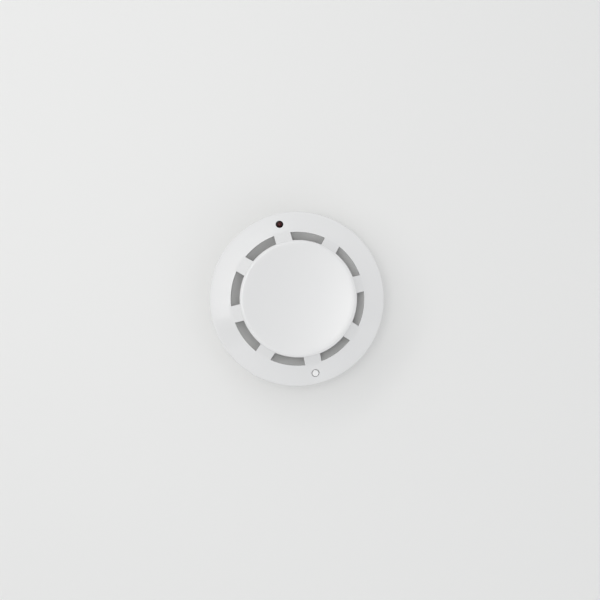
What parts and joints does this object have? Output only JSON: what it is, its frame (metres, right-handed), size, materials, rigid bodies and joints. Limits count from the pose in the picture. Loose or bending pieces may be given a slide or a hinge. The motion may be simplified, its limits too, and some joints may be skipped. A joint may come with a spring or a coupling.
{
  "type": "heat detector",
  "caption": "Round white point heat detector: a twist-off sensing head with air windows round a cap, an indicator lens and a test button, on a surface mounting base.",
  "frame": {"origin": "centre of the base's mounting face", "axes": "+Z out of the mounting face towards the front of the head; +Y towards the indicator lens; the test button is on -Y"},
  "size_m": [0.1, 0.1, 0.0418],
  "materials": {
    "cover_plastic": "smooth glossy white moulding",
    "white_moulding": "satin white moulding",
    "red_lens": "deep red transparent moulding",
    "plated_steel": "zinc plated",
    "phosphor_bronze": "bare spring strip",
    "plated_brass": "bright",
    "spring_wire": "drawn wire",
    "tinned_wire": "tinned",
    "board_green": "solder resist on glass-filled board",
    "dark_epoxy": "dipped epoxy",
    "switch_body": "dark moulding",
    "black_plastic": "dark moulding",
    "capacitor_can": "satin can",
    "resistor_ceramic": "dark film on ceramic",
    "tan_ceramic": "plain"
  },
  "bodies": {
    "base": {"base_plate": "white_moulding", "base_contact_1": "phosphor_bronze", "base_contact_2": "phosphor_bronze", "base_contact_3": "phosphor_bronze", "base_contact_4": "phosphor_bronze", "terminal_clamp_1": "plated_steel", "terminal_clamp_2": "plated_steel", "terminal_clamp_3": "plated_steel", "terminal_clamp_4": "plated_steel", "terminal_screws": "plated_steel"},
    "head": {"outer_cover": "cover_plastic", "chamber_floor": "white_moulding", "chassis": "white_moulding", "circuit_board": "board_green", "head_contact_1": "plated_brass", "head_contact_2": "plated_brass", "head_contact_3": "plated_brass", "head_contact_4": "plated_brass", "cover_screws": "plated_steel", "board_screws": "plated_steel", "thermistor_sleeve": "white_moulding", "thermistor_leads": "tinned_wire", "sensing_thermistor": "dark_epoxy", "reference_thermistor": "dark_epoxy", "indicator_led": "red_lens", "light_pipe": "red_lens", "button_spring": "spring_wire", "test_switch": "switch_body", "comparator_ic": "black_plastic", "bridge_rectifier": "black_plastic", "surge_suppressor": "black_plastic", "reservoir_capacitor": "capacitor_can", "transistors": "black_plastic", "resistors": "resistor_ceramic", "ceramic_capacitors": "tan_ceramic"},
    "test_button": {"test_button": "cover_plastic", "switch_plunger": "black_plastic"}
  },
  "joints": [
    {"name": "head_twist", "type": "hinge", "parent": "base", "child": "head", "pos_m": [0, 0, 0.008], "axis": [0, 0, 1], "range_deg": [0, 20]},
    {"name": "test_button_press", "type": "slide", "parent": "head", "child": "test_button", "axis": [0, 0, -1], "range_m": [0, 0.0006], "stiffness_N_per_m": 600, "springref_m": -0.001, "deforming": ["button_spring"]}
  ]
}
